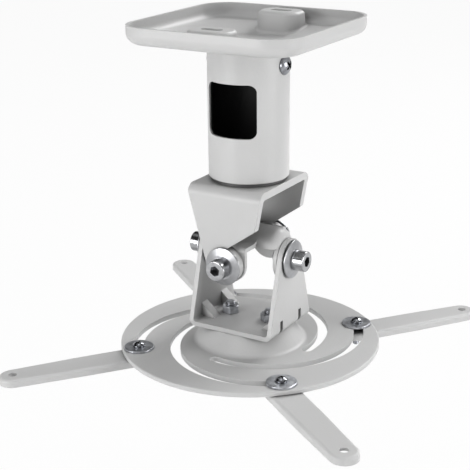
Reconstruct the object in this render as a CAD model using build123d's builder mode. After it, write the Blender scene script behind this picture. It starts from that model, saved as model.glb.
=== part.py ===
from build123d import *
import math
import os

os.makedirs("parts", exist_ok=True)

# Fits shared by every piece, mm
PIN_GAP = 0.1
THREAD_GAP = 0.05
RUN_GAP = 0.08
EAR_GAP = 0.4
NEAR = 0.01

# Ceiling plate: a pressed tray, rim against the ceiling at z = 0, floor dished
PLATE_MARGIN = 6.8
PLATE_CORNER = 20.0
PLATE_DEPTH = 11.0
PLATE_SHEET = 2.0
PLATE_EDGE = 6.5
DISH_DEPTH = 4.4
DISH_FLAT_MARGIN = 3.0
DISH_BLEND = 12.0
BOSS_PITCH = 82.0
BOSS_LENGTH = 28.0
BOSS_WIDTH = 20.0
BOSS_CORNER = 8.0
BOSS_DRAFT_DEG = 5.0
BOSS_SHOULDER = 2.4
BOSS_FOOT = 2.0
SLOT_LENGTH = 14.0
SLOT_WIDTH = 6.0

# Support tube and the spigot it turns on
TUBE_R = 25.0
TUBE_WALL = 2.5
TUBE_FOOT_Z = -95.0
TUBE_FOOT_EDGE = 0.8
NECK_R = 23.6
SPIGOT_BOTTOM_Z = -33.0
SPIGOT_WALL = 3.6
GROOVE_DEPTH = 1.6
WINDOW_HALF = 16.5
WINDOW_TOP_Z = -34.5
WINDOW_BOTTOM_Z = -67.0
WINDOW_CORNER = 4.5

# Collar screws, M6 pan head
COLLAR_Z = -25.0
COLLAR_R = 3.0
COLLAR_HEAD_R = 5.8
COLLAR_HEAD_H = 4.2
COLLAR_SEAT_DEPTH = 0.8
COLLAR_TIP_CLEAR = 0.5

# Pan heads, as shares of the head's radius or height
PAN_SHOULDER = 0.35
RECESS_SPAN = 1.05
RECESS_WIDTH = 0.26
RECESS_DEPTH = 0.62

# Upper bracket, folded down front and rear
UPPER_TOP_Z = -97.0
UPPER_SHEET = 4.8
UPPER_HALF_X = 25.4
UPPER_EAR_Y = 31.2
UPPER_BEND = 6.0
UPPER_BEND_INSIDE = 1.6
EAR_TOP_Z = -101.0
EAR_KINK = (21.6, -120.8)
EAR_NECK = (0.8, -135.5)
EAR_LEFT_KNEE = (-13.0, -146.0)
EAR_LEFT_TIP = (-11.4, -151.0)
EAR_END_R = 11.0

# Tilt joint: both pivot lines cross on the tube's axis
PIVOT_Z = -146.0
LOBE_R = 13.0

# Pivot screws, M8 socket head, with cupped washers
PIVOT_R = 4.0
PIVOT_HEAD_R = 6.5
PIVOT_HEAD_H = 8.0
PIVOT_LENGTH = 15.0
PIVOT_SOCKET = 6.0
PIVOT_SOCKET_DEPTH = 4.4
HEAD_EDGE = 0.7
TIP_CHAMFER = 0.9
SIDE_HEAD_TURN_DEG = 8.0
END_HEAD_TURN_DEG = 22.0
CUP_R = 12.0
CUP_HEIGHT = 3.2
CUP_RIM_GAP = 1.0
CUP_RIM_H = 0.9
CUP_RIM_EDGE = 0.36
CUP_FOOT_R = 10.2
CUP_FOOT_SLOPE = 0.4
CUP_SEAT_R = 7.6

# Gimbal: an arched saddle across, flat arms front and rear
GIMBAL_SHEET = 2.6
ARCH_R = 12.6
ARCH_TOP_Z = -127.0
ARM_TOP_Z = -134.8
GIMBAL_ARM_HALF = 12.0
GIMBAL_LOBE_R = 12.0
GIMBAL_SKIRT_Z = -137.5
ARCH_END_ROUND = 6.6
ARM_END_ROUND = 2.4
SADDLE_BLEND = 7.0
COLLAR_NECK_R = 5.7
COLLAR_NECK_H = 1.8

# Lower bracket, folded up left and right
LOWER_SHEET = 3.0
LOWER_EAR_X = 30.0
LOWER_BASE_Z = -193.5
LOWER_HALF_Y = 26.0
LOWER_BEND = 4.5
LOWER_BEND_INSIDE = 1.5
EAR_STRAIGHT_Z = -190.0
DART_Y = 12.0
DART_TOP_Z = -181.4
DART_REACH_X = 17.2
DART_HALF = 3.4
DART_SLOT_HALF = 1.7
DART_COVER = 2.4

# Spider disc with its raised hub
DISC_R = 84.0
DISC_TOP_Z = -204.7
DISC_SHEET = 3.3
DISC_EDGE = 1.0
HUB_FOOT_R = 35.5
HUB_TOP_R = 27.0
HUB_BLEND = 4.0
ARC_EDGE_MARGIN = 10.6
ARC_HUB_MARGIN = 7.0
ARC_BEARING_DEG = 136.3
ARC_SWEEP_DEG = 135.4
ARC_WIDTH = 6.5
ARM_COUNT = 4

# Hub bolts, M6 hexagon
HUB_BOLT_X = 14.5
HUB_BOLT_R = 3.0
HUB_BOLT_LENGTH = 14.0
HUB_HEAD_H = 4.0
HUB_NUT_H = 5.0
HUB_NUT_EDGE = 0.7
HUB_NUT_EDGE_DROP = 0.4
HUB_NUT_TURN_DEG = {"right": 26.0, "left": -2.0}
HUB_TIP_CHAMFER = 0.6
HEX_M6 = 10.0

# Swing arms: shallow pressed channels under the disc
ARM_TURN_DEG = 8.0
ARM_LENGTH = 82.0
ARM_PIN_R = 10.0
ARM_MIDDLE_R = 9.9
ARM_TIP_R = 8.7
ARM_DEPTH = 5.0
ARM_SHEET = 1.8
ARM_SHOULDER = 1.9
ARM_TIP_HOLE_R = 2.75

# Arm screws, M4 pan head, with flat washers and nuts
PIN_R = 2.0
PIN_LENGTH = 16.0
PIN_HEAD_R = 4.0
PIN_HEAD_H = 2.9
PIN_TIP_CHAMFER = 0.5
PIN_HEAD_TURN_DEG = 30.0
WASHER_R = 9.5
WASHER_H = 1.5
WASHER_EDGE = 0.45
NUT_M4_AF = 7.0
NUT_M4_H = 3.2

BOSS_REACH_Y = BOSS_PITCH / 2 + BOSS_WIDTH / 2
PLATE_HALF = BOSS_REACH_Y + PLATE_MARGIN
DISH_R = BOSS_REACH_Y
SEAT_Z = -PLATE_DEPTH - DISH_DEPTH
DISC_BOTTOM_Z = DISC_TOP_Z - DISC_SHEET
HUB_UNDER_Z = LOWER_BASE_Z - DISC_SHEET
TUBE_BORE_R = TUBE_R - TUBE_WALL
SPIGOT_R = TUBE_BORE_R - RUN_GAP
UPPER_INNER_Y = UPPER_EAR_Y - UPPER_SHEET
GIMBAL_HALF_Y = UPPER_INNER_Y
LOWER_INNER_X = LOWER_EAR_X - LOWER_SHEET
LOWER_FLOOR_Z = LOWER_BASE_Z + LOWER_SHEET
GIMBAL_HALF_X = LOWER_INNER_X - EAR_GAP
ARCH_AXIS_Z = ARCH_TOP_Z - ARCH_R
ARM_PIN_RADIUS = DISC_R - ARC_EDGE_MARGIN
ARC_INNER_RADIUS = HUB_FOOT_R + ARC_HUB_MARGIN

SIDES = {"right": 1, "left": -1}
ENDS = {"front": -1, "rear": 1}


def save(piece, name):
    piece.part.label = name
    export_step(piece.part, f"parts/{name}.step")


def turned(piece, place):
    moved = BuildPart()
    with moved:
        add(piece.part.moved(place))
    return moved


def cross_recess(size, width, depth, top):
    with BuildPart(mode=Mode.PRIVATE) as recess:
        with BuildSketch(Plane.XY.offset(top)):
            Rectangle(size, width)
            Rectangle(width, size)
        extrude(amount=-depth)
    return recess.part


def pan_screw(head_r, head_h, shank_r, length, chamfer_size):
    shoulder = head_h * PAN_SHOULDER
    dome_rise = head_h - shoulder
    dome_r = (head_r**2 + dome_rise**2) / (2 * dome_rise)
    half_angle = math.asin(head_r / dome_r) / 2
    with BuildPart() as screw:
        with BuildSketch(Plane.XZ):
            with BuildLine():
                Polyline((0, head_h), (0, 0), (head_r, 0), (head_r, shoulder))
                ThreePointArc(
                    (head_r, shoulder),
                    (
                        dome_r * math.sin(half_angle),
                        head_h - dome_r + dome_r * math.cos(half_angle),
                    ),
                    (0, head_h),
                )
            make_face()
        revolve(axis=Axis.Z)
        with BuildSketch():
            Circle(shank_r)
        extrude(amount=-length)
        chamfer(screw.edges().sort_by(Axis.Z)[0], chamfer_size)
        recess = cross_recess(
            head_r * RECESS_SPAN, head_r * RECESS_WIDTH, head_h * RECESS_DEPTH, head_h
        )
        add(recess, mode=Mode.SUBTRACT)
    return screw


def dished_tub(side, corner, edge, floor_z):
    with BuildPart() as tub:
        with BuildSketch(Plane.XY.offset(floor_z)):
            RectangleRounded(side, side, corner)
        extrude(amount=-floor_z)
        fillet(tub.faces().sort_by(Axis.Z)[0].edges(), edge)
        with BuildSketch(Plane.XZ):
            with BuildLine():
                Polyline(
                    (0, floor_z / 2),
                    (DISH_R, floor_z / 2),
                    (DISH_R, floor_z),
                    (TUBE_R + DISH_FLAT_MARGIN, floor_z - DISH_DEPTH),
                    (0, floor_z - DISH_DEPTH),
                    close=True,
                )
            make_face()
        revolve(axis=Axis.Z)
        dish_lines = tub.edges().filter_by(GeomType.CIRCLE).filter_by(
            lambda edge: edge.radius > TUBE_R and edge.center().Z < floor_z + NEAR
        )
        fillet(dish_lines, DISH_BLEND)
    return tub


def boss_pair(length, width, corner, top_z, foot_z):
    with BuildPart() as pair:
        with BuildSketch(Plane.XY.offset(top_z)):
            with GridLocations(0, BOSS_PITCH, 1, 2):
                RectangleRounded(length, width, corner)
        extrude(amount=top_z - foot_z, dir=(0, 0, -1), taper=-BOSS_DRAFT_DEG)
    return pair


def round_ended_bar(radius, half_length, end_round):
    with BuildPart() as bar:
        with BuildSketch(Plane.YZ):
            with Locations((0, ARCH_AXIS_Z)):
                Circle(radius)
        extrude(amount=half_length, both=True)
        fillet(bar.edges().filter_by(GeomType.CIRCLE), end_round)
    return bar


# The tray keeps one sheet thickness everywhere, dish and bosses included
tray_outside = dished_tub(2 * PLATE_HALF, PLATE_CORNER, PLATE_EDGE, -PLATE_DEPTH)
tray_inside = dished_tub(
    2 * (PLATE_HALF - PLATE_SHEET),
    PLATE_CORNER - PLATE_SHEET,
    PLATE_EDGE - PLATE_SHEET,
    PLATE_SHEET - PLATE_DEPTH,
)
boss_posts = boss_pair(BOSS_LENGTH, BOSS_WIDTH, BOSS_CORNER, 0, SEAT_Z)
boss_wells = boss_pair(
    BOSS_LENGTH - 2 * PLATE_SHEET,
    BOSS_WIDTH - 2 * PLATE_SHEET,
    BOSS_CORNER - PLATE_SHEET,
    -PLATE_SHEET,
    SEAT_Z,
)
with BuildPart() as tray_space:
    add(tray_inside.part)
    add(boss_posts.part, mode=Mode.SUBTRACT)
    boss_reach = boss_posts.part.bounding_box().max
    boss_feet = tray_space.edges().filter_by(
        lambda edge: edge.center().Z < PLATE_SHEET - PLATE_DEPTH + BOSS_FOOT / 2
        and abs(edge.center().X) < boss_reach.X
        and BOSS_PITCH - boss_reach.Y < abs(edge.center().Y) < boss_reach.Y
    )
    fillet(boss_feet, BOSS_FOOT)

with BuildPart() as ceiling_plate:
    add(tray_outside.part)
    add(tray_space.part, mode=Mode.SUBTRACT)
    boss_tops = ceiling_plate.faces().filter_by(
        lambda face: abs(face.center().Z) < NEAR and abs(face.center().Y) > BOSS_WIDTH
    )
    fillet(boss_tops.edges(), BOSS_SHOULDER)
    add(boss_wells.part, mode=Mode.SUBTRACT)
    with BuildSketch():
        with GridLocations(0, BOSS_PITCH, 1, 2):
            SlotOverall(SLOT_LENGTH, SLOT_WIDTH)
    extrude(amount=-PLATE_DEPTH, mode=Mode.SUBTRACT)
save(ceiling_plate, "ceiling_plate")

# Ring under the tray, grooved for the tips of the collar screws
with BuildPart() as swivel_spigot:
    with BuildSketch(Plane.XZ):
        with BuildLine():
            groove_half = COLLAR_R + PIN_GAP
            groove_r = SPIGOT_R - GROOVE_DEPTH
            Polyline(
                (SPIGOT_R - SPIGOT_WALL, SEAT_Z),
                (SPIGOT_R, SEAT_Z),
                (SPIGOT_R, COLLAR_Z + groove_half),
                (groove_r, COLLAR_Z + groove_half),
                (groove_r, COLLAR_Z - groove_half),
                (SPIGOT_R, COLLAR_Z - groove_half),
                (SPIGOT_R, SPIGOT_BOTTOM_Z),
                (SPIGOT_R - SPIGOT_WALL, SPIGOT_BOTTOM_Z),
                close=True,
            )
        make_face()
    revolve(axis=Axis.Z)
save(swivel_spigot, "swivel_spigot")

with BuildPart() as support_tube:
    with BuildSketch(Plane.XY.offset(SEAT_Z)):
        Circle(TUBE_R)
    extrude(amount=TUBE_FOOT_Z - SEAT_Z)
    fillet(support_tube.edges().sort_by(Axis.Z)[0], TUBE_FOOT_EDGE)
    with BuildSketch(Plane.XY.offset(TUBE_FOOT_Z)):
        Circle(NECK_R)
    extrude(amount=UPPER_TOP_Z - TUBE_FOOT_Z)
    with BuildSketch(Plane.XY.offset(SEAT_Z)):
        Circle(TUBE_BORE_R)
    extrude(amount=UPPER_TOP_Z - SEAT_Z, mode=Mode.SUBTRACT)
    with BuildSketch(Plane.XZ):
        with Locations((0, (WINDOW_TOP_Z + WINDOW_BOTTOM_Z) / 2)):
            RectangleRounded(
                2 * WINDOW_HALF, WINDOW_TOP_Z - WINDOW_BOTTOM_Z, WINDOW_CORNER
            )
    extrude(amount=TUBE_R, mode=Mode.SUBTRACT)
    with BuildSketch(Plane.YZ):
        with Locations((0, COLLAR_Z)):
            Circle(COLLAR_R + THREAD_GAP)
    extrude(amount=TUBE_R, both=True, mode=Mode.SUBTRACT)
    for side in SIDES.values():
        seat_x = side * (TUBE_R - COLLAR_SEAT_DEPTH)
        with BuildSketch(Plane.YZ.offset(seat_x)):
            with Locations((0, COLLAR_Z)):
                Circle(COLLAR_HEAD_R + PIN_GAP)
        extrude(amount=side * COLLAR_SEAT_DEPTH, mode=Mode.SUBTRACT)
save(support_tube, "support_tube")

collar_screw = pan_screw(
    COLLAR_HEAD_R,
    COLLAR_HEAD_H,
    COLLAR_R,
    TUBE_R - COLLAR_SEAT_DEPTH - SPIGOT_R + GROOVE_DEPTH - COLLAR_TIP_CLEAR,
    COLLAR_TIP_CLEAR,
)
for side_name, side in SIDES.items():
    place = Pos(side * (TUBE_R - COLLAR_SEAT_DEPTH), 0, COLLAR_Z) * Rot(Y=90 * side)
    save(turned(collar_screw, place * Rot(Z=45)), f"collar_screw_{side_name}")

# The ears lean over to one side and narrow towards the pivots
with BuildPart() as upper_bracket:
    with BuildSketch(Plane.YZ):
        with BuildLine():
            Polyline(
                (-UPPER_EAR_Y, PIVOT_Z - EAR_END_R),
                (-UPPER_EAR_Y, UPPER_TOP_Z),
                (UPPER_EAR_Y, UPPER_TOP_Z),
                (UPPER_EAR_Y, PIVOT_Z - EAR_END_R),
                (UPPER_INNER_Y, PIVOT_Z - EAR_END_R),
                (UPPER_INNER_Y, UPPER_TOP_Z - UPPER_SHEET),
                (-UPPER_INNER_Y, UPPER_TOP_Z - UPPER_SHEET),
                (-UPPER_INNER_Y, PIVOT_Z - EAR_END_R),
                close=True,
            )
        make_face()
    extrude(amount=UPPER_HALF_X, both=True)
    fillet(
        upper_bracket.edges().filter_by(Axis.X).group_by(Axis.Z)[-1], UPPER_BEND
    )
    fillet(
        upper_bracket.edges().filter_by(Axis.X).filter_by(
            lambda edge: abs(edge.center().Z - UPPER_TOP_Z + UPPER_SHEET) < NEAR
        ),
        UPPER_BEND_INSIDE,
    )
    with BuildSketch(Plane.XZ):
        with BuildLine():
            Polyline(
                (-UPPER_HALF_X, UPPER_TOP_Z),
                (UPPER_HALF_X, UPPER_TOP_Z),
                (UPPER_HALF_X, EAR_TOP_Z),
                EAR_KINK,
                EAR_NECK,
                (EAR_END_R * math.sqrt(0.5), PIVOT_Z + EAR_END_R * math.sqrt(0.5)),
                (0, EAR_LEFT_TIP[1]),
                EAR_LEFT_TIP,
                EAR_LEFT_KNEE,
                (-UPPER_HALF_X, EAR_TOP_Z),
                close=True,
            )
        make_face()
        with Locations((0, PIVOT_Z)):
            Circle(EAR_END_R)
    extrude(amount=UPPER_EAR_Y, both=True, mode=Mode.INTERSECT)
    with BuildSketch(Plane.XZ):
        with Locations((0, PIVOT_Z)):
            Circle(PIVOT_R + PIN_GAP)
    extrude(amount=UPPER_EAR_Y, both=True, mode=Mode.SUBTRACT)
save(upper_bracket, "upper_bracket")

# Saddle pressing: arch along x, flat arms along y, a lobe at each end
arch_inside = round_ended_bar(
    ARCH_R - GIMBAL_SHEET, GIMBAL_HALF_X - GIMBAL_SHEET, ARCH_END_ROUND - GIMBAL_SHEET
)
with BuildPart() as gimbal_cross:
    add(round_ended_bar(ARCH_R, GIMBAL_HALF_X, ARCH_END_ROUND).part)
    with BuildSketch(Plane.XY.offset(ARM_TOP_Z)):
        Rectangle(2 * GIMBAL_ARM_HALF, 2 * GIMBAL_HALF_Y)
    extrude(amount=GIMBAL_SKIRT_Z - ARM_TOP_Z)
    arm_bends = gimbal_cross.edges().filter_by(Axis.X).filter_by(
        lambda edge: abs(abs(edge.center().Y) - GIMBAL_HALF_Y) < NEAR
        and abs(edge.center().Z - ARM_TOP_Z) < NEAR
    )
    fillet(arm_bends, ARM_END_ROUND)
    saddle_lines = gimbal_cross.edges().filter_by(Axis.X).filter_by(
        lambda edge: abs(edge.center().Z - ARM_TOP_Z) < NEAR
        and abs(edge.center().Y) < ARCH_R
    )
    fillet(saddle_lines, SADDLE_BLEND)
    with BuildSketch(Plane.XY.offset(GIMBAL_SKIRT_Z)):
        Rectangle(2 * GIMBAL_HALF_X, 2 * GIMBAL_HALF_Y)
    extrude(amount=-2 * ARCH_R, mode=Mode.SUBTRACT)
    for side in SIDES.values():
        with BuildSketch(Plane.YZ.offset(side * (GIMBAL_HALF_X - GIMBAL_SHEET))):
            with Locations((0, PIVOT_Z)):
                Circle(LOBE_R)
        extrude(amount=side * GIMBAL_SHEET)
    for end in ENDS.values():
        lobe_plane = Plane.XZ.offset(-end * (GIMBAL_HALF_Y - GIMBAL_SHEET))
        with BuildSketch(lobe_plane):
            with Locations((0, PIVOT_Z)):
                Circle(GIMBAL_LOBE_R)
            with Locations((0, (PIVOT_Z + GIMBAL_SKIRT_Z) / 2)):
                Rectangle(2 * GIMBAL_ARM_HALF, GIMBAL_SKIRT_Z - PIVOT_Z)
        extrude(amount=-end * GIMBAL_SHEET)
    add(arch_inside.part, mode=Mode.SUBTRACT)
    for turn in (0, 90):
        half = GIMBAL_HALF_Y if turn == 0 else GIMBAL_HALF_X
        across = Plane.XZ if turn == 0 else Plane.YZ
        for end in ENDS.values():
            neck_start = end * (half - GIMBAL_SHEET - COLLAR_NECK_H)
            with BuildSketch(across.offset(neck_start)):
                with Locations((0, PIVOT_Z)):
                    Circle(COLLAR_NECK_R)
            extrude(amount=end * (COLLAR_NECK_H + GIMBAL_SHEET / 2))
        with BuildSketch(across):
            with Locations((0, PIVOT_Z)):
                Circle(PIVOT_R + THREAD_GAP)
        extrude(amount=half, both=True, mode=Mode.SUBTRACT)
save(gimbal_cross, "gimbal_cross")

# One pivot screw and one cupped washer, pointing along +z from the ear
with BuildPart() as pivot_screw:
    with BuildSketch():
        Circle(PIVOT_HEAD_R)
    extrude(amount=PIVOT_HEAD_H)
    fillet(pivot_screw.edges().sort_by(Axis.Z)[-1], HEAD_EDGE)
    with BuildSketch():
        Circle(PIVOT_R)
    extrude(amount=-PIVOT_LENGTH)
    chamfer(pivot_screw.edges().sort_by(Axis.Z)[0], TIP_CHAMFER)
    with BuildSketch(Plane.XY.offset(PIVOT_HEAD_H)):
        RegularPolygon(PIVOT_SOCKET / 2, 6, major_radius=False)
    extrude(amount=-PIVOT_SOCKET_DEPTH, mode=Mode.SUBTRACT)

with BuildPart() as cup_washer:
    with BuildSketch(Plane.XZ):
        with BuildLine():
            Polyline(
                (PIVOT_R + PIN_GAP, 0),
                (CUP_FOOT_R, 0),
                (CUP_FOOT_R + CUP_FOOT_SLOPE, CUP_RIM_GAP),
                (CUP_R, CUP_RIM_GAP),
                (CUP_R, CUP_RIM_GAP + CUP_RIM_H),
                (CUP_SEAT_R, CUP_HEIGHT),
                (PIVOT_R + PIN_GAP, CUP_HEIGHT),
                close=True,
            )
        make_face()
    revolve(axis=Axis.Z)
    fillet(
        cup_washer.edges().filter_by(GeomType.CIRCLE).filter_by(
            lambda edge: abs(edge.radius - CUP_R) < NEAR
        ),
        CUP_RIM_EDGE,
    )

for side_name, side in SIDES.items():
    facing = Pos(side * LOWER_EAR_X, 0, PIVOT_Z) * Rot(Y=90 * side)
    save(turned(cup_washer, facing), f"cup_washer_{side_name}")
    head_place = facing * Pos(0, 0, CUP_HEIGHT) * Rot(Z=SIDE_HEAD_TURN_DEG)
    save(turned(pivot_screw, head_place), f"pivot_screw_{side_name}")
for end_name, end in ENDS.items():
    facing = Pos(0, end * UPPER_EAR_Y, PIVOT_Z) * Rot(X=-90 * end)
    save(turned(cup_washer, facing), f"cup_washer_{end_name}")
    head_place = facing * Pos(0, 0, CUP_HEIGHT) * Rot(Z=END_HEAD_TURN_DEG)
    save(turned(pivot_screw, head_place), f"pivot_screw_{end_name}")

# The ears run straight from the base to a tangent on the lobe
ear_rise = PIVOT_Z - EAR_STRAIGHT_Z
ear_reach = math.hypot(ear_rise, LOWER_HALF_Y)
tangent_angle = math.atan2(ear_rise, LOWER_HALF_Y) + math.asin(LOBE_R / ear_reach)
lobe_touch = (
    LOBE_R * math.sin(tangent_angle),
    PIVOT_Z + LOBE_R * math.cos(tangent_angle),
)
with BuildPart() as lower_bracket:
    with BuildSketch(Plane.XZ):
        with BuildLine():
            Polyline(
                (-LOWER_EAR_X, PIVOT_Z + LOBE_R),
                (-LOWER_EAR_X, LOWER_BASE_Z),
                (LOWER_EAR_X, LOWER_BASE_Z),
                (LOWER_EAR_X, PIVOT_Z + LOBE_R),
                (LOWER_INNER_X, PIVOT_Z + LOBE_R),
                (LOWER_INNER_X, LOWER_FLOOR_Z),
                (-LOWER_INNER_X, LOWER_FLOOR_Z),
                (-LOWER_INNER_X, PIVOT_Z + LOBE_R),
                close=True,
            )
        make_face()
    extrude(amount=LOWER_HALF_Y, both=True)
    fillet(lower_bracket.edges().filter_by(Axis.Y).group_by(Axis.Z)[0], LOWER_BEND)
    fillet(
        lower_bracket.edges().filter_by(Axis.Y).filter_by(
            lambda edge: abs(edge.center().Z - LOWER_FLOOR_Z) < NEAR
        ),
        LOWER_BEND_INSIDE,
    )
    with BuildSketch(Plane.YZ):
        with BuildLine():
            Polyline(
                (-LOWER_HALF_Y, LOWER_BASE_Z),
                (LOWER_HALF_Y, LOWER_BASE_Z),
                (LOWER_HALF_Y, EAR_STRAIGHT_Z),
                lobe_touch,
                (0, PIVOT_Z + LOBE_R / 2),
                (-lobe_touch[0], lobe_touch[1]),
                (-LOWER_HALF_Y, EAR_STRAIGHT_Z),
                close=True,
            )
        make_face()
        with Locations((0, PIVOT_Z)):
            Circle(LOBE_R)
    extrude(amount=LOWER_EAR_X, both=True, mode=Mode.INTERSECT)
    with BuildSketch(Plane.YZ):
        with Locations((0, PIVOT_Z)):
            Circle(PIVOT_R + PIN_GAP)
    extrude(amount=LOWER_EAR_X, both=True, mode=Mode.SUBTRACT)
    for dart_y in (-DART_Y, DART_Y):
        for side in SIDES.values():
            with BuildSketch(Plane.XZ.offset(-dart_y)):
                with BuildLine():
                    Polyline(
                        (side * LOWER_INNER_X, DART_TOP_Z),
                        (side * DART_REACH_X, LOWER_FLOOR_Z),
                        (side * DART_REACH_X, LOWER_FLOOR_Z - LOWER_SHEET / 2),
                        (side * (LOWER_EAR_X - LOWER_SHEET / 2), LOWER_FLOOR_Z),
                        (side * (LOWER_EAR_X - LOWER_SHEET / 2), DART_TOP_Z),
                        close=True,
                    )
                make_face()
            extrude(amount=DART_HALF, both=True)
            with BuildSketch(Plane.XZ.offset(-dart_y)):
                with BuildLine():
                    Polyline(
                        (side * LOWER_EAR_X, DART_TOP_Z - DART_COVER),
                        (side * (DART_REACH_X + DART_COVER), LOWER_BASE_Z),
                        (side * LOWER_EAR_X, LOWER_BASE_Z),
                        close=True,
                    )
                make_face()
            extrude(amount=DART_SLOT_HALF, both=True, mode=Mode.SUBTRACT)
    with BuildSketch(Plane.XY.offset(LOWER_BASE_Z)):
        with GridLocations(2 * HUB_BOLT_X, 0, 2, 1):
            Circle(HUB_BOLT_R + PIN_GAP)
    extrude(amount=LOWER_SHEET, mode=Mode.SUBTRACT)
save(lower_bracket, "lower_bracket")

# Pressed disc: the hub is drawn up, the four arcs are punched through
slant = math.atan2(LOWER_BASE_Z - DISC_TOP_Z, HUB_FOOT_R - HUB_TOP_R)
side_shift = DISC_SHEET * math.tan(slant / 2)
arc_outer_end = (ARM_PIN_RADIUS, 0)
arc_inner_end = (
    ARC_INNER_RADIUS * math.cos(math.radians(ARC_BEARING_DEG)),
    -ARC_INNER_RADIUS * math.sin(math.radians(ARC_BEARING_DEG)),
)
arc_chord = math.dist(arc_outer_end, arc_inner_end)
arc_r = arc_chord / 2 / math.sin(math.radians(ARC_SWEEP_DEG) / 2)
with BuildPart() as spider_disc:
    with BuildSketch(Plane.XZ):
        with BuildLine():
            Polyline(
                (0, LOWER_BASE_Z),
                (HUB_TOP_R, LOWER_BASE_Z),
                (HUB_FOOT_R, DISC_TOP_Z),
                (DISC_R, DISC_TOP_Z),
                (DISC_R, DISC_BOTTOM_Z),
                (HUB_FOOT_R - side_shift, DISC_BOTTOM_Z),
                (HUB_TOP_R - side_shift, HUB_UNDER_Z),
                (0, HUB_UNDER_Z),
                close=True,
            )
        hub_profile = make_face()
        fillet(
            [
                corner
                for corner in hub_profile.vertices()
                if abs(corner.X - HUB_FOOT_R) < NEAR
            ],
            HUB_BLEND,
        )
    revolve(axis=Axis.Z)
    rounded = spider_disc.edges().filter_by(GeomType.CIRCLE).filter_by(
        lambda edge: abs(edge.radius - DISC_R) < NEAR
        or abs(edge.radius - HUB_TOP_R) < NEAR
        and abs(edge.center().Z - LOWER_BASE_Z) < NEAR
    )
    fillet(rounded, DISC_EDGE)
    with BuildSketch(Plane.XY.offset(DISC_BOTTOM_Z)):
        with PolarLocations(0, ARM_COUNT, start_angle=45):
            arc_line = RadiusArc(arc_outer_end, arc_inner_end, arc_r, mode=Mode.PRIVATE)
            SlotArc(arc_line, ARC_WIDTH)
    extrude(amount=DISC_SHEET, mode=Mode.SUBTRACT)
    with BuildSketch(Plane.XY.offset(HUB_UNDER_Z)):
        with GridLocations(2 * HUB_BOLT_X, 0, 2, 1):
            Circle(HUB_BOLT_R + PIN_GAP)
    extrude(amount=DISC_SHEET, mode=Mode.SUBTRACT)
save(spider_disc, "spider_disc")

with BuildPart() as hub_bolt:
    with BuildSketch(Plane.XY.offset(HUB_UNDER_Z - HUB_HEAD_H)):
        RegularPolygon(HEX_M6 / 2, 6, major_radius=False)
    extrude(amount=HUB_HEAD_H)
    with BuildSketch(Plane.XY.offset(HUB_UNDER_Z)):
        Circle(HUB_BOLT_R)
    extrude(amount=HUB_BOLT_LENGTH)
    chamfer(hub_bolt.edges().sort_by(Axis.Z)[-1], HUB_TIP_CHAMFER)

nut_seat_z = LOWER_FLOOR_Z
with BuildPart() as hub_nut:
    with BuildSketch(Plane.XY.offset(nut_seat_z)):
        RegularPolygon(HEX_M6 / 2, 6, major_radius=False)
    extrude(amount=HUB_NUT_H)
    corner_r = HEX_M6 / 2 / math.cos(math.radians(30))
    with BuildSketch(Plane.XZ):
        with BuildLine():
            Polyline(
                (0, nut_seat_z),
                (corner_r - HUB_NUT_EDGE, nut_seat_z),
                (corner_r, nut_seat_z + HUB_NUT_EDGE_DROP),
                (corner_r, nut_seat_z + HUB_NUT_H - HUB_NUT_EDGE_DROP),
                (corner_r - HUB_NUT_EDGE, nut_seat_z + HUB_NUT_H),
                (0, nut_seat_z + HUB_NUT_H),
                close=True,
            )
        make_face()
    revolve(axis=Axis.Z, mode=Mode.INTERSECT)
    with BuildSketch(Plane.XY.offset(nut_seat_z)):
        Circle(HUB_BOLT_R + THREAD_GAP)
    extrude(amount=HUB_NUT_H, mode=Mode.SUBTRACT)

for side_name, side in SIDES.items():
    place = Pos(side * HUB_BOLT_X, 0, 0)
    save(turned(hub_bolt, place), f"hub_bolt_{side_name}")
    nut_place = place * Rot(Z=HUB_NUT_TURN_DEG[side_name])
    save(turned(hub_nut, nut_place), f"hub_nut_{side_name}")

# One arm at the origin, pin hole at 0, tip hole out along +x
with BuildPart() as swing_arm:
    with BuildSketch(Plane.XY.offset(DISC_BOTTOM_Z - ARM_DEPTH)):
        Circle(ARM_PIN_R)
        with Locations((ARM_LENGTH / 2, 0)):
            Circle(ARM_MIDDLE_R)
        with Locations((ARM_LENGTH, 0)):
            Circle(ARM_TIP_R)
        make_hull()
    extrude(amount=ARM_DEPTH)
    fillet(swing_arm.faces().sort_by(Axis.Z)[-1].edges(), ARM_SHOULDER)
    with BuildSketch(Plane.XY.offset(DISC_BOTTOM_Z - ARM_DEPTH)):
        Circle(ARM_PIN_R - ARM_SHEET)
        with Locations((ARM_LENGTH / 2, 0)):
            Circle(ARM_MIDDLE_R - ARM_SHEET)
        with Locations((ARM_LENGTH, 0)):
            Circle(ARM_TIP_R - ARM_SHEET)
        make_hull()
    extrude(amount=ARM_DEPTH - ARM_SHEET, mode=Mode.SUBTRACT)
    with BuildSketch(Plane.XY.offset(DISC_BOTTOM_Z - ARM_SHEET)):
        Circle(PIN_R + PIN_GAP)
        with Locations((ARM_LENGTH, 0)):
            Circle(ARM_TIP_HOLE_R)
    extrude(amount=ARM_SHEET, mode=Mode.SUBTRACT)

arm_screw = pan_screw(PIN_HEAD_R, PIN_HEAD_H, PIN_R, PIN_LENGTH, PIN_TIP_CHAMFER)

with BuildPart() as arm_washer:
    with BuildSketch(Plane.XY.offset(DISC_TOP_Z)):
        Circle(WASHER_R)
        Circle(PIN_R + PIN_GAP, mode=Mode.SUBTRACT)
    extrude(amount=WASHER_H)
    fillet(arm_washer.faces().sort_by(Axis.Z)[-1].outer_wire().edges(), WASHER_EDGE)

with BuildPart() as arm_nut:
    with BuildSketch(Plane.XY.offset(DISC_BOTTOM_Z - ARM_SHEET)):
        RegularPolygon(NUT_M4_AF / 2, 6, major_radius=False)
        Circle(PIN_R + THREAD_GAP, mode=Mode.SUBTRACT)
    extrude(amount=-NUT_M4_H)

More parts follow.
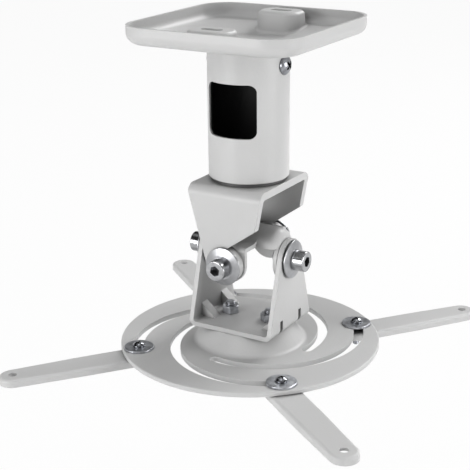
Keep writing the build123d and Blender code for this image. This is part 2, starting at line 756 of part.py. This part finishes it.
QUARTERS = ("right", "rear", "left", "front")
for quarter, quarter_name in enumerate(QUARTERS):
    bearing = 45 + 360 / ARM_COUNT * quarter
    pin_place = Rot(Z=bearing) * Pos(ARM_PIN_RADIUS, 0, 0)
    arm_place = pin_place * Rot(Z=ARM_TURN_DEG)
    head_place = pin_place * Pos(0, 0, DISC_TOP_Z + WASHER_H)
    screw_place = head_place * Rot(Z=PIN_HEAD_TURN_DEG * quarter)
    save(turned(swing_arm, arm_place), f"arm_{quarter_name}")
    save(turned(arm_screw, screw_place), f"arm_screw_{quarter_name}")
    save(turned(arm_washer, pin_place), f"arm_washer_{quarter_name}")
    save(turned(arm_nut, arm_place), f"arm_nut_{quarter_name}")
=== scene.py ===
import math

import bpy
from mathutils import Matrix, Vector


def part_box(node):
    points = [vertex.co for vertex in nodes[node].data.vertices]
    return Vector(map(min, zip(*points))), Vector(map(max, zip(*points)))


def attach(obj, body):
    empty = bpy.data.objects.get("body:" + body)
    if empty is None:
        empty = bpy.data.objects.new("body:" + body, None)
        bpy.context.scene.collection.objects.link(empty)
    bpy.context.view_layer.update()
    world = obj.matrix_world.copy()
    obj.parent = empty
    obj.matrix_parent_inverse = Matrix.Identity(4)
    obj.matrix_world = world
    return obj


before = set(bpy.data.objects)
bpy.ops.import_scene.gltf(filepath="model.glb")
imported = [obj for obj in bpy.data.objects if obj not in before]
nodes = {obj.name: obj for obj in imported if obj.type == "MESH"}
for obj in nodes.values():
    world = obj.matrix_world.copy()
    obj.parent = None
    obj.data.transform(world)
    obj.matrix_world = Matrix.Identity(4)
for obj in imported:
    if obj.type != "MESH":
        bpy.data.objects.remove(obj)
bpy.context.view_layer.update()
bpy.ops.object.select_all(action="DESELECT")


# Ceiling plate: a tray pressed from 2 mm steel, with two slotted bosses that
# stand up to the ceiling. The powder coat has a fine orange peel and a painted
# highlight that makes it a touch paler over an edge; painted shade darkens it
# deep in a fold and more in a tight corner.
class Shade:
    """A socket of a material's node tree, used in sums as a number is."""

    def __init__(self, tree, socket=None):
        self.tree = tree
        self.socket = socket

    def node(self, kind, settings=None, inputs=None, output=0):
        made = self.tree.nodes.new(kind)
        for name, value in (settings or {}).items():
            if name == "stops":
                elements = made.color_ramp.elements
                while len(elements) < len(value):
                    elements.new(0.5)
                for element, (position, grey) in zip(elements, value):
                    element.position = position
                    element.color = (grey, grey, grey, 1.0)
            else:
                setattr(made, name, value)
        for name, value in (inputs or {}).items():
            if isinstance(value, Shade):
                self.tree.links.new(value.socket, made.inputs[name])
            else:
                made.inputs[name].default_value = value
        return Shade(self.tree, made.outputs[output])

    def split(self):
        """The x, y and z of a vector."""
        parts = self.node("ShaderNodeSeparateXYZ", inputs={0: self})
        return [Shade(self.tree, axis) for axis in parts.socket.node.outputs]

    def maths(self, operation, first, second=0.0):
        inputs = {0: first, 1: second}
        return self.node("ShaderNodeMath", {"operation": operation}, inputs)

    def __add__(self, other):
        return self.maths("ADD", self, other)

    def __radd__(self, other):
        return self.maths("ADD", other, self)

    def __sub__(self, other):
        return self.maths("SUBTRACT", self, other)

    def __rsub__(self, other):
        return self.maths("SUBTRACT", other, self)

    def __mul__(self, other):
        return self.maths("MULTIPLY", self, other)

    def __rmul__(self, other):
        return self.maths("MULTIPLY", other, self)

    def clamp(self):
        return self.node("ShaderNodeClamp", inputs={"Value": self})


def new_finish(name):
    """An empty material with a Principled shader, and its tree as a Shade."""
    finish = bpy.data.materials.new(name)
    finish.use_nodes = True
    tree = finish.node_tree
    return finish, Shade(tree), tree.nodes["Principled BSDF"]


def feed(shade, shader, **sockets):
    """Sets or links the shader's sockets, named with _ for each space."""
    for name, value in sockets.items():
        target = shader.inputs[name.replace("_", " ")]
        if isinstance(value, Shade):
            shade.tree.links.new(value.socket, target)
        else:
            target.default_value = value


def noise(shade, place, scale, detail=2.0):
    inputs = {"Vector": place, "Scale": scale, "Detail": detail}
    return shade.node("ShaderNodeTexNoise", inputs=inputs)


def blend(shade, mask, low, high):
    """A colour that goes from low to high as the mask goes from 0 to 1."""
    low, high = (
        colour if isinstance(colour, Shade) else (*colour, 1.0)
        for colour in (low, high)
    )
    inputs = {0: mask, 6: low, 7: high}
    return shade.node("ShaderNodeMix", {"data_type": "RGBA"}, inputs, output=2)


def crevice(shade, reach, start=0.62, slope=2.4):
    """1 deep in a gap or corner, 0 in the open: a mask for painted shade."""
    open_share = shade.node(
        "ShaderNodeAmbientOcclusion", {"samples": 6}, {"Distance": reach}, "AO"
    )
    return ((start - open_share) * slope).clamp()


PAINT_DARK = (0.60, 0.60, 0.598)
PAINT_LIGHT = (0.66, 0.66, 0.658)
# Painted highlight colour for edges; the three colours after it are painted shade.
PAINT_EDGE_HIGHLIGHT = (0.74, 0.74, 0.738)
PAINT_CORNER_SHADE = (0.07, 0.07, 0.069)
PAINT_FOLD_SHADE = (0.14, 0.14, 0.139)
PAINT_DEEP_SHADE = (0.012, 0.012, 0.013)
CREVICE_REACH = 0.006
CREVICE_SHARE = 0.8
FOLD_REACH = 0.05
FOLD_START = 0.8
FOLD_SLOPE = 1.7
FOLD_SHARE = 0.5
EDGE_ROUND = 0.0004
EDGE_CONTRAST = 5.0
PEEL_STRENGTH = 0.16
PEEL_DEPTH = 0.0004
PEEL_PER_METRE = 620
GRAIN_PER_METRE = 2600
CLOUD_PER_METRE = 14


def powder_coat(name, deep_shade_mask=None):
    """Satin grey paint; the optional mask marks where near-black painted shade is
    laid.
    """
    finish, shade, shader = new_finish(name)
    place = shade.node("ShaderNodeTexCoord", output="Object")
    cloud = noise(shade, place, CLOUD_PER_METRE, 3.0)
    grain = noise(shade, place, GRAIN_PER_METRE, 1.0)
    peel = noise(shade, place, PEEL_PER_METRE, 1.5)
    rounded = shade.node(
        "ShaderNodeBevel", {"samples": 4}, {"Radius": EDGE_ROUND}
    )
    facing = shade.node("ShaderNodeNewGeometry", output="Normal")
    agree = shade.node(
        "ShaderNodeVectorMath",
        {"operation": "DOT_PRODUCT"},
        {0: rounded, 1: facing},
        "Value",
    )
    # Painted highlight: the paint turns paler over a rounded edge.
    edge = ((1.0 - agree) * EDGE_CONTRAST).clamp()
    tone = blend(shade, cloud * 0.7 + grain * 0.3, PAINT_DARK, PAINT_LIGHT)
    tone_with_painted_light = blend(shade, edge, tone, PAINT_EDGE_HIGHLIGHT)
    # Painted shade: the paint darkens half way to a dark grey deep in a fold, and
    # most of the way to near black in a tight corner.
    inner = crevice(shade, FOLD_REACH, FOLD_START, FOLD_SLOPE) * FOLD_SHARE
    tone_with_painted_light = blend(shade, inner, tone_with_painted_light, PAINT_FOLD_SHADE)
    corner = crevice(shade, CREVICE_REACH) * CREVICE_SHARE
    tone_with_painted_light = blend(shade, corner, tone_with_painted_light, PAINT_CORNER_SHADE)
    # Painted shade: near black where the mask says, inside the tube's bore.
    if deep_shade_mask is not None:
        tone_with_painted_light = blend(shade, deep_shade_mask(place), tone_with_painted_light, PAINT_DEEP_SHADE)
    bumped = shade.node(
        "ShaderNodeBump",
        inputs={
            "Strength": PEEL_STRENGTH,
            "Distance": PEEL_DEPTH,
            "Height": peel + grain * 0.25,
            "Normal": rounded,
        },
    )
    feed(
        shade,
        shader,
        Base_Color=tone_with_painted_light,
        Roughness=0.36 + cloud * 0.08 + grain * 0.06,
        Normal=bumped,
    )
    return finish


def dress(name, finish):
    """Gives a CAD node its material."""
    slots = nodes[name].data.materials
    slots.clear()
    slots.append(finish)


paint = powder_coat("grey powder coat")
dress("ceiling_plate", paint)


# Support tube: 50 mm steel tube with a cable window, turning on a spigot that
# is welded under the tray. Both are coated, but hardly any light reaches the
# inside, so the bore carries painted shade, nearly black.
TUBE_SKIN_R = 0.0238
BORE_FADE = 0.00025


def distance(first, second):
    """How far out a point is, from two of its measures."""
    return first.maths("SQRT", first * first + second * second)


def inside_bore(place):
    """1 inside the tube's wall, 0 on its outside."""
    along_x, along_y, _ = place.split()
    return ((TUBE_SKIN_R - distance(along_x, along_y)) * (1 / BORE_FADE)).clamp()


bore_paint = powder_coat("grey powder coat with dark bore", inside_bore)
dress("support_tube", bore_paint)
dress("swivel_spigot", bore_paint)


# Collar screws: zinc plated pan heads that clamp the tube to the spigot. The
# plating is a cool grey metal, a little cloudy, with painted shade, nearly black,
# in the cross.
HEAD_DARK = (0.10, 0.104, 0.115)
HEAD_LIGHT = (0.46, 0.472, 0.50)
# The next colour and reach are painted shade in recesses.
RECESS_SHADE = (0.03, 0.03, 0.032)
RECESS_SHADE_REACH = 0.0022
ZINC_CLOUD_PER_METRE = 260
ZINC_SCUFF_PER_METRE = 1900


def zinc_plate(name, dark, light, rough_low, rough_span):
    """Cloudy plating, with painted shade nearly black in gaps and recesses."""
    finish, shade, shader = new_finish(name)
    place = shade.node("ShaderNodeTexCoord", output="Object")
    cloud = noise(shade, place, ZINC_CLOUD_PER_METRE, 3.0)
    scuff = noise(shade, place, ZINC_SCUFF_PER_METRE)
    rounded = shade.node("ShaderNodeBevel", {"samples": 4}, {"Radius": 0.0002})
    bumped = shade.node(
        "ShaderNodeBump",
        inputs={
            "Strength": 0.12,
            "Distance": 0.0002,
            "Height": scuff,
            "Normal": rounded,
        },
    )
    # Painted shade: nearly black in gaps and recesses, such as the cross.
    recess_shade = crevice(shade, RECESS_SHADE_REACH)
    patchy = ((cloud - 0.25) * 2.0).clamp()
    plated = blend(shade, patchy, dark, light)
    feed(
        shade,
        shader,
        Base_Color=blend(shade, recess_shade, plated, RECESS_SHADE),
        Metallic=1.0,
        Roughness=rough_low + cloud * rough_span,
        Normal=bumped,
    )
    return finish


head_zinc = zinc_plate("zinc plating on pan heads", HEAD_DARK, HEAD_LIGHT, 0.1, 0.14)
for side in ("left", "right"):
    dress(f"collar_screw_{side}", head_zinc)


# Upper bracket: 5 mm plate folded down front and rear into two leaning ears,
# welded to the foot of the tube and coated with it.
dress("upper_bracket", paint)


# Gimbal: one saddle pressing that carries all four pivot screws, with flat
# arms front and rear and an arch across.
dress("gimbal_cross", paint)


# Pivot screws: bright M8 socket caps. Their threads come through the gimbal's
# lobes, and the sockets are darkened with painted shade.
STEEL_DARK = (0.30, 0.304, 0.315)
STEEL_LIGHT = (0.60, 0.605, 0.62)
# The next colour and reach are painted shade in the sockets.
SOCKET_SHADE = (0.02, 0.02, 0.022)
SOCKET_SHADE_REACH = 0.005
OIL_SMEAR_PER_METRE = 420


def bright_steel(name):
    """Polished steel with a smear of oil, and painted shade black deep in the
    sockets.
    """
    finish, shade, shader = new_finish(name)
    place = shade.node("ShaderNodeTexCoord", output="Object")
    smear = noise(shade, place, OIL_SMEAR_PER_METRE)
    rounded = shade.node("ShaderNodeBevel", {"samples": 4}, {"Radius": 0.0003})
    # Painted shade: black deep in the socket.
    socket_shade = crevice(shade, SOCKET_SHADE_REACH)
    steel = blend(shade, smear, STEEL_DARK, STEEL_LIGHT)
    feed(
        shade,
        shader,
        Base_Color=blend(shade, socket_shade, steel, SOCKET_SHADE),
        Metallic=1.0,
        Roughness=0.14 + smear * 0.12,
        Normal=rounded,
    )
    return finish


bright = bright_steel("bright steel")
PIVOT = Vector((0.0, 0.0, -0.146))


def pick(test):
    """Selects the faces of the mesh in edit mode that pass the test."""
    bpy.ops.object.mode_set(mode="OBJECT")
    for face in bpy.context.object.data.polygons:
        face.select = test(face)
    bpy.ops.object.mode_set(mode="EDIT")


def threaded_end(name, core_r, crest_r, pitch, turns, place, body):
    """A stub of rolled thread, drawn up ring by ring from a disc along +z."""
    bpy.ops.mesh.primitive_circle_add(
        vertices=40, radius=core_r, fill_type="NGON", location=(0, 0, 0)
    )
    stub = bpy.context.object
    stub.name = name
    bpy.ops.object.mode_set(mode="EDIT")
    bpy.ops.mesh.select_mode(type="FACE")
    for ring in range(turns * 2):
        bpy.ops.mesh.select_all(action="DESELECT")
        top = pitch / 2 * ring
        pick(lambda face: face.normal.z > 0.9 and face.center.z > top - 1e-6)
        swell = crest_r / core_r if ring % 2 == 0 else core_r / crest_r
        bpy.ops.mesh.extrude_region_move(
            TRANSFORM_OT_translate={"value": (0, 0, pitch / 2)}
        )
        bpy.ops.transform.resize(
            value=(swell, swell, 1), center_override=(0, 0, top + pitch / 2)
        )
    bpy.ops.mesh.select_all(action="SELECT")
    bpy.ops.mesh.normals_make_consistent(inside=False)
    bpy.ops.object.mode_set(mode="OBJECT")
    stub.data.transform(place)
    stub.data.materials.append(head_zinc)
    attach(stub, body)
    bpy.ops.object.select_all(action="DESELECT")


PIVOT_TIP_OUT = 0.0222
M8_THREAD = {"core_r": 0.00403, "crest_r": 0.00428, "pitch": 0.00125, "turns": 2}
FACINGS = {
    "right": Matrix.Rotation(-math.pi / 2, 4, "Y"),
    "left": Matrix.Rotation(math.pi / 2, 4, "Y"),
    "rear": Matrix.Rotation(math.pi / 2, 4, "X"),
    "front": Matrix.Rotation(-math.pi / 2, 4, "X"),
}
for side, facing in FACINGS.items():
    dress(f"pivot_screw_{side}", bright)
    tip = Matrix.Translation((0, 0, -PIVOT_TIP_OUT))
    outward = Matrix.Translation(PIVOT) @ facing @ tip
    threaded_end(f"pivot_thread_{side}", place=outward, body="gimbal", **M8_THREAD)


# Cup washers: turned steel dishes under the pivot heads, with fine rings left
# by the tool and a gap under the rim that painted shade makes dark.
TURNED_DARK = (0.22, 0.224, 0.235)
TURNED_LIGHT = (0.62, 0.625, 0.64)
# How far the painted shade under the rim reaches.
RIM_SHADE_REACH = 0.0025
RINGS_PER_METRE = 5200
TURNED_SMEAR_PER_METRE = 300
ACROSS_X, ACROSS_Y = 0, 1


def turned_steel(name, across):
    """Rings about a pivot, whose face lies across x or y."""
    finish, shade, shader = new_finish(name)
    place = shade.node("ShaderNodeTexCoord", output="Object")
    parts = place.split()
    radius = distance(parts[across], parts[2] - PIVOT.z)
    spot = shade.node("ShaderNodeCombineXYZ", inputs={0: radius})
    rings = noise(shade, spot, RINGS_PER_METRE, 3.0)
    smear = noise(shade, place, TURNED_SMEAR_PER_METRE)
    bumped = shade.node(
        "ShaderNodeBump",
        inputs={"Strength": 0.25, "Distance": 0.00012, "Height": rings},
    )
    # Painted shade: nearly black under the rim and in other tight hollows.
    rim_shade = crevice(shade, RIM_SHADE_REACH)
    turned = blend(shade, rings * 0.6 + smear * 0.4, TURNED_DARK, TURNED_LIGHT)
    feed(
        shade,
        shader,
        Base_Color=blend(shade, rim_shade, turned, RECESS_SHADE),
        Metallic=1.0,
        Roughness=0.24 + rings * 0.14,
        Normal=bumped,
    )
    return finish


for side in ("left", "right"):
    dress(f"cup_washer_{side}", turned_steel(f"turned steel {side}", ACROSS_Y))
for end in ("front", "rear"):
    dress(f"cup_washer_{end}", turned_steel(f"turned steel {end}", ACROSS_X))


# Lower bracket: 3 mm plate folded up left and right, with two stamped darts in
# each bend that leave narrow slots outside.
dress("lower_bracket", paint)


# Hub bolts and nuts: M6 from below, zinc plated, with two turns of thread
# standing out of each nut.
HUB_ZINC_DARK = (0.26, 0.27, 0.29)
HUB_ZINC_LIGHT = (0.74, 0.755, 0.79)
M6_THREAD = {"core_r": 0.0029, "crest_r": 0.00312, "pitch": 0.001, "turns": 2}
hub_zinc = zinc_plate(
    "zinc plating on the hub", HUB_ZINC_DARK, HUB_ZINC_LIGHT, 0.24, 0.2
)
for side in ("left", "right"):
    dress(f"hub_bolt_{side}", hub_zinc)
    dress(f"hub_nut_{side}", hub_zinc)
    nut_low, nut_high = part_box(f"hub_nut_{side}")
    seat = Matrix.Translation(((nut_low.x + nut_high.x) / 2, 0, nut_high.z))
    threaded_end(f"hub_thread_{side}", place=seat, body="carrier", **M6_THREAD)


# Spider disc: 3.3 mm steel with a drawn hub and four punched arcs, in which the
# arms' screws run. It is coated like the rest and bolted under the lower bracket.
dress("spider_disc", paint)


# Swing arms and their fasteners: shallow channels under the disc, each held by
# an M4 pan head, a wide flat washer and a nut below.
WASHER_DARK = (0.30, 0.31, 0.33)
WASHER_LIGHT = (0.66, 0.675, 0.71)
M4_THREAD = {"core_r": 0.00195, "crest_r": 0.00212, "pitch": 0.0007, "turns": 8}
TURNED_OVER = Matrix.Rotation(math.pi, 4, "X")
washer_zinc = zinc_plate(
    "zinc plating on washers", WASHER_DARK, WASHER_LIGHT, 0.26, 0.16
)
for quarter in ("right", "rear", "left", "front"):
    dress(f"arm_{quarter}", paint)
    dress(f"arm_screw_{quarter}", head_zinc)
    dress(f"arm_washer_{quarter}", washer_zinc)
    dress(f"arm_nut_{quarter}", washer_zinc)
    nut_low, nut_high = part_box(f"arm_nut_{quarter}")
    middle = (nut_low + nut_high) / 2
    hang = Matrix.Translation((middle.x, middle.y, nut_low.z)) @ TURNED_OVER
    threaded_end(
        f"arm_thread_{quarter}", place=hang, body=f"slider_{quarter}", **M4_THREAD
    )


# Floor: a pale sheet below the reach of a fully tilted arm. To the camera it is
# nearly white with a trace of the mount's shadow, and reflections show it pale.
FLOOR_Z = -0.32
FLOOR_SIZE = 12
WHITE_TO_CAMERA = 0.95
WHITE_IN_METAL = 0.4
bpy.ops.mesh.primitive_plane_add(size=FLOOR_SIZE, location=(0, 0, FLOOR_Z))
floor = bpy.context.object
floor.name = "floor"
floor_finish, shade, shader = new_finish("pale floor")
feed(shade, shader, Base_Color=(0.9, 0.9, 0.9, 1.0), Roughness=0.9)
seen = shade.node("ShaderNodeLightPath", output="Is Camera Ray")
mirrored = shade.node("ShaderNodeLightPath", output="Is Glossy Ray")
white = shade.node("ShaderNodeEmission", inputs={"Strength": 1.0})
lit = Shade(shade.tree, shader.outputs[0])
share = seen * WHITE_TO_CAMERA + mirrored * WHITE_IN_METAL
mixed = shade.node("ShaderNodeMixShader", inputs={0: share, 1: lit, 2: white})
shade.tree.links.new(
    mixed.socket, shade.tree.nodes["Material Output"].inputs["Surface"]
)
floor.data.materials.append(floor_finish)


# Studio: a dim room that metal sees as pale, dark and pale bands. Soft lamps
# stand low and high in front, on the right, high behind and above the tray.
world = bpy.data.worlds.new("studio")
bpy.context.scene.world = world
world.use_nodes = True
room = Shade(world.node_tree)
background = world.node_tree.nodes["Background"]
background.inputs["Color"].default_value = (1.0, 1.0, 1.0, 1.0)
camera_ray = room.node("ShaderNodeLightPath", output="Is Camera Ray")
glossy_ray = room.node("ShaderNodeLightPath", output="Is Glossy Ray")
ROOM_LEVEL = 0.13
BAND_OFFSET = 0.12
BANDS = ((0.0, 0.7), (0.3, 0.8), (0.4, 0.0), (0.8, 0.0), (0.9, 0.6))
_, _, height = room.node("ShaderNodeTexCoord", output="Generated").split()
bands = room.node("ShaderNodeValToRGB", {"stops": BANDS}, {"Fac": height})
in_metal = glossy_ray * (bands - BAND_OFFSET)
level = ROOM_LEVEL + camera_ray * (1.0 - ROOM_LEVEL) + in_metal
world.node_tree.links.new(level.socket, background.inputs["Strength"])


LAMP_TARGET = Vector((0, 0, -0.12))


def soft_lamp(name, place, size, power):
    """A square area lamp that faces the joint in the middle of the mount."""
    bpy.ops.object.light_add(type="AREA", location=place)
    lamp = bpy.context.object
    lamp.name = name
    lamp.data.shape = "SQUARE"
    lamp.data.size = size
    lamp.data.energy = power
    look = LAMP_TARGET - Vector(place)
    lamp.rotation_euler = look.to_track_quat("-Z", "Y").to_euler()


soft_lamp("front lamp", (-0.6, -1.35, 0.0), 0.6, 10.2)
soft_lamp("high lamp", (-0.1, -1.1, 0.75), 0.5, 3.2)
soft_lamp("right lamp", (1.5, 0.15, 0.05), 0.6, 11.0)
soft_lamp("rear lamp", (0.3, 1.2, 0.9), 0.8, 16.0)
soft_lamp("top lamp", (-0.05, -0.1, 1.4), 0.4, 3.0)


# Camera: a long lens in front of the right corner, looking down on the disc, set
# where the mount's circles and straight edges look as they do in the photograph.
LENS_MM = 91.97
SENSOR_MM = 36.0
CAMERA_PLACE = Vector((0.36201, -0.62156, 0.11241))
CAMERA_TURN = math.radians(31.049)
CAMERA_DIP = math.radians(20.918)
CAMERA_ROLL = math.radians(-0.627)
FRAME_SHIFT = (0.00341, 0.08584)
bpy.ops.object.camera_add(location=CAMERA_PLACE)
camera = bpy.context.object
camera.rotation_euler = (
    Matrix.Rotation(CAMERA_TURN, 4, "Z")
    @ Matrix.Rotation(math.pi / 2 - CAMERA_DIP, 4, "X")
    @ Matrix.Rotation(CAMERA_ROLL, 4, "Z")
).to_euler()
camera.data.lens = LENS_MM
camera.data.sensor_width = SENSOR_MM
camera.data.shift_x, camera.data.shift_y = FRAME_SHIFT
camera.data.clip_start = 0.01
bpy.context.scene.camera = camera
bpy.context.scene.view_settings.view_transform = "Standard"
